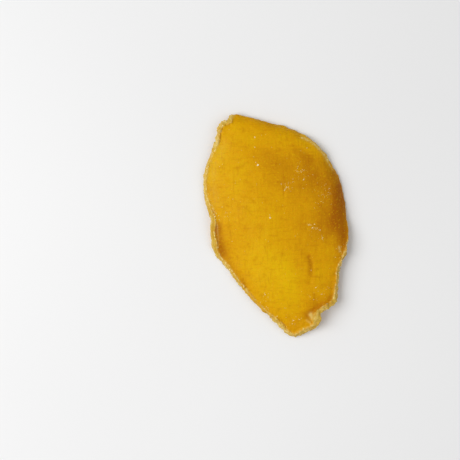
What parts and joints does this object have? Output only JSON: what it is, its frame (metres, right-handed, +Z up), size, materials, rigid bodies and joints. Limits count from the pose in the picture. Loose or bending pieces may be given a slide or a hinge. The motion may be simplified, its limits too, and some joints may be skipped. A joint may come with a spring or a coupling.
{
  "type": "dried mango slice",
  "caption": "Leathery oval slice of dried mango, domed on the side that shows, with a pale upturned rim and a curled lower corner.",
  "frame": {"origin": "under the middle of the slice, on the surface that it lies on", "axes": "+Y along the slice, from its pointed end to its broad end; +X across it, towards the edge that turns down; +Z up, out of the domed side"},
  "size_m": [0.0578, 0.0922, 0.008],
  "materials": {
    "flesh": "satin, slightly translucent amber fruit with a paler, drier rim"
  },
  "bodies": {
    "root": {"mango_slice": "flesh"}
  },
  "joints": []
}
